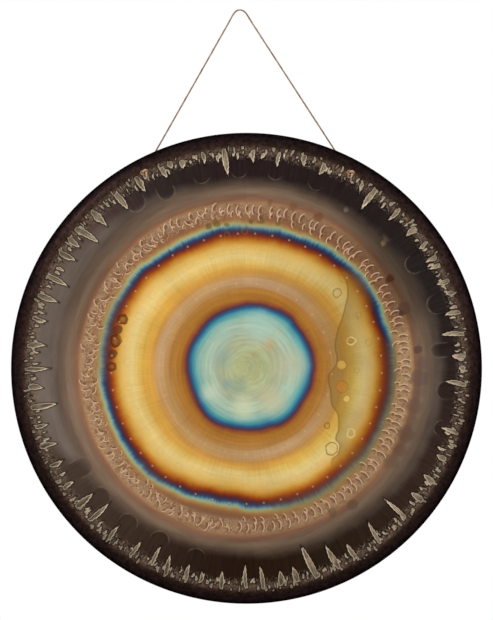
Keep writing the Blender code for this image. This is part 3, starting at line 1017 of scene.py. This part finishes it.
class FacePattern:
    # Places and noises on the gong's face that its materials share, in mm from the middle
    def __init__(self, name):
        values = {"Metallic": 1.0, "Specular Tint": linearColour(tints["glance"])}
        self.material, self.shader = newMaterial(name, values)
        self.tree = self.material.node_tree
        place = self.add("TexCoord", output=3)
        millimetre = (0.001, 0.001, 0.001)
        toFace = {0: place, 1: hanging["centre"], 2: (faceTurn, 0.0, 0.0), 3: millimetre}
        self.place = self.add("Mapping", toFace, vector_type="TEXTURE")
        axes = self.add("SeparateXYZ", {0: self.place}).node
        self.x, self.y = axes.outputs[0], axes.outputs[1]
        self.flat = self.add("CombineXYZ", {0: self.x, 1: self.y})
        self.radius = self.add("VectorMath", {0: self.flat}, 1, operation="LENGTH")
        angle = self.add("Math", {0: self.x, 1: self.y}, operation="ARCTAN2")
        turns = self.add("Math", {0: angle, 1: 1 / math.tau}, operation="MULTIPLY")
        self.turn = self.add("Math", {0: turns}, operation="FRACT")
        self.outward = self.add("VectorMath", {0: self.flat}, operation="NORMALIZE")
        # Streaks drawn outwards, about 3 mm wide at the temper ring and 50 mm long, and slow waves
        self.streaks = self.ringNoise(*patterns["streaks"])
        waves = self.add("TexNoise", {"Vector": self.place, **patterns["waves"]})
        streakShift = self.add("MapRange", {0: self.streaks, **spans["streakShift"]})
        self.waveShift = self.add("MapRange", {0: waves, **spans["waveShift"]})
        self.wobble = self.add("Math", {0: streakShift, 1: self.waveShift}, operation="ADD")
        stir = self.add("TexNoise", {"Vector": self.place, **patterns["stir"]})
        stirShift = self.add("MapRange", {0: stir, **spans["stirShift"]})
        shift = self.add("CombineXYZ", {0: self.wobble, 1: stirShift})
        self.stirred = self.add("VectorMath", {0: self.flat, 1: shift}, operation="ADD")

    def add(self, *arguments, **settings):
        return addNode(self.tree, *arguments, **settings)

    def ringNoise(self, across, outwards):
        # Noise that is drawn out along the radius or round the gong, with no seam
        depth = self.add("Math", {0: self.radius, 1: outwards}, operation="MULTIPLY")
        axis = self.add("CombineXYZ", {2: depth})
        spread = {0: self.outward, 1: (across, across, 0.0), 2: axis}
        place = self.add("VectorMath", spread, operation="MULTIPLY_ADD")
        return self.add("TexNoise", {"Vector": place, **patterns["drawnOut"]})

    def byAngle(self, name):
        # A value that changes round the gong
        low, high = curveLimits.get(name, (0, 1))
        places = [(a / 360, (value - low) / (high - low)) for a, value in heat[name]]
        curve = self.add("FloatCurve", {1: self.turn}, points=places)
        return self.add("MapRange", {0: curve, 3: low, 4: high})

    def byDistance(self, name, distance):
        # A colour that changes outwards
        table = heat[name]
        low, high = table[0][0], table[-1][0]
        share = self.add("MapRange", {0: distance, 1: low, 2: high})
        return self.add("ValToRGB", {0: share}, stops=shares(table, low, high))

    def along(self, row, half, soft):
        # 1 on a row round the gong and 0 outside it
        past = self.add("Math", {0: self.radius, 1: row}, operation="SUBTRACT")
        away = self.add("Math", {0: past}, operation="ABSOLUTE")
        limits = {0: away, 1: half + soft, 2: half}
        return self.add("MapRange", limits, interpolation_type="SMOOTHSTEP")

    def line(self, distance, place, half, strength):
        # A thin line where the distance has this value
        past = self.add("Math", {0: distance, 1: place}, operation="SUBTRACT")
        away = self.add("Math", {0: past}, operation="ABSOLUTE")
        limits = {0: away, 1: half * patterns["lineCore"], 2: half, 3: strength, 4: 0.0}
        return self.add("MapRange", limits)

    def product(self, parts):
        # Multiplies shares or levels. A part that is a pair is a value and the span that it follows
        result = None
        for part in parts:
            if isinstance(part, tuple):
                value, name = part
                easing = "SMOOTHSTEP" if name in smoothSpans else "LINEAR"
                part = self.add("MapRange", {0: value, **spans[name]}, interpolation_type=easing)
            if result is not None:
                part = self.add("Math", {0: result, 1: part}, operation="MULTIPLY")
            result = part
        return result

    def lay(self, under, over, *parts):
        # Lays one colour over another, as strongly as the parts say together
        if isinstance(over, str):
            over = linearColour(over)
        return self.add("Mix", {0: self.product(parts), 6: under, 7: over}, 2, data_type="RGBA")

    def lit(self, colour, *parts):
        # The same colour, as light or dark as the parts say together
        return self.add("HueSaturation", {"Color": colour, "Value": self.product(parts)})

    def stain(self, body, inner, outer):
        # Adds the stains, drops, rows of small dents and the painted glints and highlights among them that
        # lie between two radii
        for kind in ("blobs", "rings"):
            for left, up, size, *soft, colour, strength in stains[kind]:
                if not inner < math.hypot(left, up) < outer:
                    continue
                apart = {0: self.stirred, 1: (left, up, 0)}
                away = self.add("VectorMath", apart, 1, operation="DISTANCE")
                if soft:
                    limits = {0: away, 1: size + soft[0], 2: size - soft[0], 4: strength}
                    share = self.add("MapRange", limits, interpolation_type="SMOOTHSTEP")
                else:
                    share = self.line(away, size, patterns["dropLine"], strength)
                body = self.lay(body, colour, share)
        # Thin rings for small dents, and bright dots that are painted glints
        for row, count, size, thickness, colour, strength in stains["dentRingsAndGlints"]:
            if not inner < row < outer:
                continue
            cell = self.add("Math", {0: self.turn, 1: count}, operation="MULTIPLY")
            inCell = self.add("Math", {0: cell}, operation="FRACT")
            width = math.tau * row / count
            centred = {0: inCell, 1: width, 2: -width / 2}
            across = self.add("Math", centred, operation="MULTIPLY_ADD")
            past = self.add("Math", {0: self.radius, 1: row}, operation="SUBTRACT")
            within = self.add("CombineXYZ", {0: across, 1: past})
            away = self.add("VectorMath", {0: within}, 1, operation="LENGTH")
            body = self.lay(body, colour, self.line(away, size, thickness, strength))
        return body

    def temperRing(self):
        # The outer ring of oxide colours, clear in some places and dull in others
        ringRadius = self.byAngle("ringRadius")
        fromRing = self.add("Math", {0: self.radius, 1: ringRadius}, operation="SUBTRACT")
        offset = self.add("Math", {0: fromRing, 1: self.wobble}, operation="ADD")
        dull = self.byDistance("dullRing", offset)
        return self.lay(dull, self.byDistance("clearRing", offset), self.byAngle("ringBlue"))

    def finish(self, colour, roughness):
        # A hammered surface: broad shallow facets under a fine grain
        self.tree.links.new(colour, self.shader.inputs["Base Color"])
        self.shader.inputs["Roughness"].default_value = roughness
        facets = self.add("TexNoise", {"Vector": self.place, **patterns["facets"]})
        grain = self.add("TexNoise", {"Vector": self.place, **patterns["grain"]})
        both = {0: grain, 1: finishes["grainShare"], 2: facets}
        height = self.add("Math", both, operation="MULTIPLY_ADD")
        raised = {"Height": height, "Strength": finishes["bumpStrength"], "Distance": finishes["bumpDepth"]}
        self.tree.links.new(self.add("Bump", raised), self.shader.inputs["Normal"])
        return self.material


def makeDiscMetal():
    # Nickel silver, a copper alloy, coloured by heat inside the temper ring: clear oxide films from pale
    # green over blue and red to gold, over a soft polish that shows the polishing wheel's arcs
    face = FacePattern("heatColouredNickelSilver")
    discRadius = face.byAngle("discRadius")
    fromDisc = face.add("Math", {0: face.radius, 1: discRadius}, operation="SUBTRACT")
    nudged = {0: face.wobble, 1: patterns["discWaves"], 2: fromDisc}
    discOffset = face.add("Math", nudged, operation="MULTIPLY_ADD")
    disc = face.byDistance("disc", discOffset)
    middle = face.lay(disc, face.temperRing(), (face.radius, "discToRing"))
    haloRow = face.along(*patterns["haloRow"])
    haloed = face.lay(middle, tints["halo"], haloRow, face.byAngle("haloLevel"))
    # Painted light: the gold lighter towards the lower left and darker towards the upper right
    sideLitGold = face.lit(haloed, face.byAngle("goldPaintedLight"))
    gold = face.lay(haloed, sideLitGold, (face.radius, "discToGold"))
    arcs = face.lit(gold, (face.ringNoise(*patterns["arcs"]), "arcLight"))
    wheeled = face.lay(gold, arcs, (face.radius, "arcFade"))
    clouds = face.add("TexNoise", {"Vector": face.place, **patterns["clouds"]})
    rayed = face.lit(wheeled, (clouds, "cloudLight"), (face.streaks, "rayLight"))

    # Painted reflection at the right: a darker patch past a wavy edge, fading outwards, with a darker line
    # along the edge
    low, high = stains["darkReflection"][0][0], stains["darkReflection"][-1][0]
    near, far = stains["darkReflectionReach"]
    height = face.add("MapRange", {0: face.y, 1: low, 2: high})
    points = [((up - low) / (high - low), (right - near) / (far - near)) for up, right in stains["darkReflection"]]
    curve = face.add("FloatCurve", {1: height}, points=points)
    darkReflectionEdge = face.add("MapRange", {0: curve, 3: near, 4: far})
    beyond = face.add("Math", {0: face.x, 1: darkReflectionEdge}, operation="SUBTRACT")
    heightAway = face.add("Math", {0: face.y}, operation="ABSOLUTE")
    fade = (heightAway, "filmFade")
    darkReflected = face.lay(rayed, tints["darkReflection"], (beyond, "filmIn"), (beyond, "filmOut"), fade)
    edged = face.lay(darkReflected, tints["darkReflectionEdge"], face.line(beyond, *patterns["darkReflectionLine"]), fade)
    return face.finish(face.stain(edged, *finishes["discStains"]), finishes["discRoughness"])


def makeRimMetal():
    # The same metal outside the temper ring: taupe bronze, then thick black scale, with the half-moons
    # and the hammer's strokes in paler metal, their bright lines painted highlights and their dark sides
    # painted shadows
    face = FacePattern("scaledNickelSilver")
    # Painted light: the temper ring and the taupe band lighter towards the lower left and darker towards the
    # upper right
    ring = face.lit(face.temperRing(), face.byAngle("goldPaintedLight"))
    taupe = face.lit(face.byDistance("outside", face.radius), face.byAngle("taupePaintedLight"))
    rippled = face.lit(taupe, (face.ringNoise(*patterns["ripples"]), "rippleLight"))
    body = face.lay(ring, rippled, (face.radius, "ringToTaupe"))

    # Cream and brown mottling of the band that carries the half-moons
    moonRow = face.along(*patterns["moonRow"])
    curls = face.add("TexNoise", {"Vector": face.place, **patterns["curls"]})
    curlLine = face.line(curls, *patterns["curlLine"])
    creamed = face.lay(body, tints["cream"], moonRow, face.byAngle("creamLevel"))
    mottled = face.lay(creamed, tints["mottle"], (curls, "mottle"), moonRow)
    curled = face.lay(mottled, tints["curl"], curlLine, moonRow, face.byAngle("curlLevel"))
    stained = face.stain(curled, *finishes["rimStains"])

    # Black scale from its inner edge out to the rim, thicker in the round-ended dents
    patches = face.add("TexNoise", {"Vector": face.place, **patterns["patches"]})
    bandRadius = face.byAngle("bandRadius")
    fromBand = face.add("Math", {0: face.radius, 1: bandRadius}, operation="SUBTRACT")
    nudged = {0: face.waveShift, 1: patterns["bandWaves"], 2: fromBand}
    waved = face.add("Math", nudged, operation="MULTIPLY_ADD")
    dentEdge = face.add("Attribute", output=2, attribute_name="dentEdge")
    dentDark = face.add("MapRange", {0: dentEdge, **spans["dentDark"]})
    depth = face.add("Math", {0: waved, 1: dentDark}, operation="ADD")
    band = face.add("ValToRGB", {0: face.turn}, stops=shares(heat["band"], 0, 360))
    dark = face.lay(stained, face.lit(band, (face.streaks, "smoke")), (depth, "scaled"))
    broken = (face.line(dentEdge, *patterns["dentLine"]), (patches, "dentBreaks"), (fromBand, "dentFade"))
    dented = face.lay(dark, tints["dentLine"], *broken)

    # Rim, with the lumps of the hammer catching light where it turns down
    lumps = face.add("TexVoronoi", {"Vector": face.place, **patterns["lumps"]})
    lumpy = face.lit(face.byDistance("rim", face.radius), (lumps, "lumpLight"), (patches, "patchLight"))
    edged = face.lay(dented, lumpy, (face.radius, "toRim"))

    # Half-moon marks, each with a painted highlight along its line and a painted shadow in the hollow beside
    # it
    moonLine = face.add("Attribute", output=2, attribute_name="moonLine")
    moonStrength = face.add("Attribute", output=2, attribute_name="moonStrength")
    inMoon = face.add("Math", {0: moonLine, 1: patterns["moonInside"]}, operation="LESS_THAN")
    moonShaded = face.lay(edged, tints["moonHollow"], (moonLine, "moonHollow"), inMoon, moonStrength)
    bright = face.line(moonLine, *patterns["moonLine"])
    mooned = face.lay(moonShaded, tints["moonLine"], bright, moonStrength)

    # Curls between the strokes, then the strokes with a painted shadow as their dark outline and a painted
    # highlight along their bright edge
    curlRow = face.along(*patterns["curlRow"])
    specked = face.lay(mooned, tints["speck"], curlLine, curlRow, patterns["speckShare"])
    strokeEdge = face.add("Attribute", output=2, attribute_name="strokeEdge")
    outlined = face.lay(specked, tints["strokeOutline"], (strokeEdge, "strokeOutline"))
    grain = face.ringNoise(*patterns["strokeGrain"])
    grained = face.add("ValToRGB", {0: grain}, stops=heat["stroke"])
    rubbed = (face.radius, "rubbed")
    middles = face.lit(grained, (patches, "patchLight"), rubbed, face.byAngle("strokeLevel"))
    strokes = face.lay(middles, tints["strokeEdge"], (strokeEdge, "brightEdge"), rubbed)
    return face.finish(face.lay(outlined, strokes, (strokeEdge, "strokeBody")), finishes["rimRoughness"])


def makeBackMetal():
    # The back of the same sheet, left as it came from the fire: brown-grey scale with duller rings
    # where the front was heated, and paler hammer dimples
    face = FacePattern("scaledNickelSilverBack")
    nudged = {0: face.waveShift, 1: patterns["backWaves"], 2: face.radius}
    waved = face.add("Math", nudged, operation="MULTIPLY_ADD")
    patches = face.add("TexNoise", {"Vector": face.place, **patterns["backPatches"]})
    patched = face.lit(face.byDistance("back", waved), (patches, "backLight"))
    dimples = face.add("TexVoronoi", {"Vector": face.place, **patterns["dimples"]})
    dimpled = face.lay(patched, tints["dimple"], (dimples, "dimples"))
    return face.finish(face.lit(dimpled, (face.streaks, "backStreaks")), finishes["backRoughness"])


def chooseSlots(mesh):
    # The disc's metal inside the temper ring, the rim's metal out to the lip, and the back's metal behind
    places = readAll(mesh.polygons, "center", 3)
    facing = readAll(mesh.polygons, "normal", 3)
    radii = np.hypot(places[:, 0], places[:, 1])
    least = finishes["leastRadius"]
    outwards = (facing[:, :2] * places[:, :2]).sum(axis=1) / np.maximum(radii, least)
    front = (facing[:, 2] > finishes["forwards"]) | (outwards > finishes["outwards"])
    ofFront = np.where(radii < finishes["discEdge"], 0, 1)
    mesh.polygons.foreach_set("material_index", np.where(front, ofFront, 2))


# Floor and light
studio = {
    "floorSize": 8.0,
    "floorHeight": -1.02,
    "floorColour": "#e8e8e8",
    "floorRoughness": 0.9,
    "floorGlow": 0.35,  # keeps the floor white to the camera where it has no shadow
    "white": "#ffffff",  # of the surroundings and of the floor's glow
    "skyStrength": 0.8,
    "seenStrength": 1.0,
    # Name, place, size in metres and power in watts
    "lamps": [("keyLamp", (-2.2, -2.4, 1.2), 0.9, 40.0), ("fillLamp", (2.4, -2.0, 0.4), 1.2, 14.0)],
}


def makeStage():
    # A white floor that shows white to the camera and still takes the gong's soft shadow
    bpy.ops.mesh.primitive_plane_add(size=studio["floorSize"], location=(0.0, 0.0, studio["floorHeight"]))
    floor = bpy.context.object
    floor.name = "floor"
    values = {
        "Base Color": linearColour(studio["floorColour"]),
        "Roughness": studio["floorRoughness"],
        "Emission Color": linearColour(studio["white"]),
    }
    material, shader = newMaterial("matteWhitePaint", values)
    tree = material.node_tree
    path = addNode(tree, "LightPath").node
    glow = {0: path.outputs["Is Camera Ray"], 1: studio["floorGlow"]}
    strength = addNode(tree, "Math", glow, operation="MULTIPLY")
    tree.links.new(strength, shader.inputs["Emission Strength"])
    floor.data.materials.append(material)
    floor.select_set(False)


def makeLight():
    # Level white light: the surroundings are full white only where a ray sees them
    world = bpy.data.worlds.new("studio")
    bpy.context.scene.world = world
    world.use_nodes = True
    tree = world.node_tree
    background = tree.nodes["Background"]
    background.inputs["Color"].default_value = linearColour(studio["white"])
    path = addNode(tree, "LightPath").node
    seen = path.outputs["Is Camera Ray"]
    for ray in ("Is Transmission Ray", "Is Glossy Ray"):
        seen = addNode(tree, "Math", {0: seen, 1: path.outputs[ray]}, operation="MAXIMUM")
    strengths = {0: seen, 3: studio["skyStrength"], 4: studio["seenStrength"]}
    tree.links.new(addNode(tree, "MapRange", strengths), background.inputs["Strength"])
    for name, place, size, power in studio["lamps"]:
        lamp = bpy.data.objects.new(name, bpy.data.lights.new(name, "AREA"))
        bpy.context.collection.objects.link(lamp)
        lamp.data.size = size
        lamp.data.energy = power
        lamp.location = place
        aim = Vector(hanging["centre"]) - lamp.location
        lamp.rotation_euler = aim.to_track_quat("-Z", "Y").to_euler()


# The cord and its knots
greyFibre = makeCordFibre("twistedPolyesterCord")
waxedFibre = makeCordFibre("scorchedPolyesterCord")
cordPoints, cordLength = evenLine(smoothLine(cord["route"], cord["curveSteps"]), cord["ringSpacing"])
cordTube = makeTwistedTube("hangingLoop", cordPoints, cordLength, Matrix.Identity(4), greyFibre)
knotLeft = makeKnot("stopperKnotLeft", -1, knots["leftTurn"], waxedFibre)
knotRight = makeKnot("stopperKnotRight", 1, knots["rightTurn"], waxedFibre)
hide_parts("hanging_cord", "cord_end_left", "cord_end_right")
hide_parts("knot_left")
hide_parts("knot_right")
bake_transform(cordTube)
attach(knotLeft, "gong")
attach(knotRight, "gong")
print("cord made, length", round(cordLength, 4))

# The gong
gongShell = makeShell()
hammerShell(gongShell)
for material in (makeDiscMetal(), makeRimMetal(), makeBackMetal()):
    gongShell.data.materials.append(material)
chooseSlots(gongShell.data)
gongShell.data.transform(faceToWorld)
bpy.ops.object.shade_smooth_by_angle(angle=gong["smoothAngle"])
gongShell.select_set(False)
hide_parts("gong_plate")
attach(gongShell, "gong")
print("gong made, faces", len(gongShell.data.polygons))

makeStage()
makeLight()
print("floor and light made")
bpy.context.scene.view_settings.view_transform = "Standard"
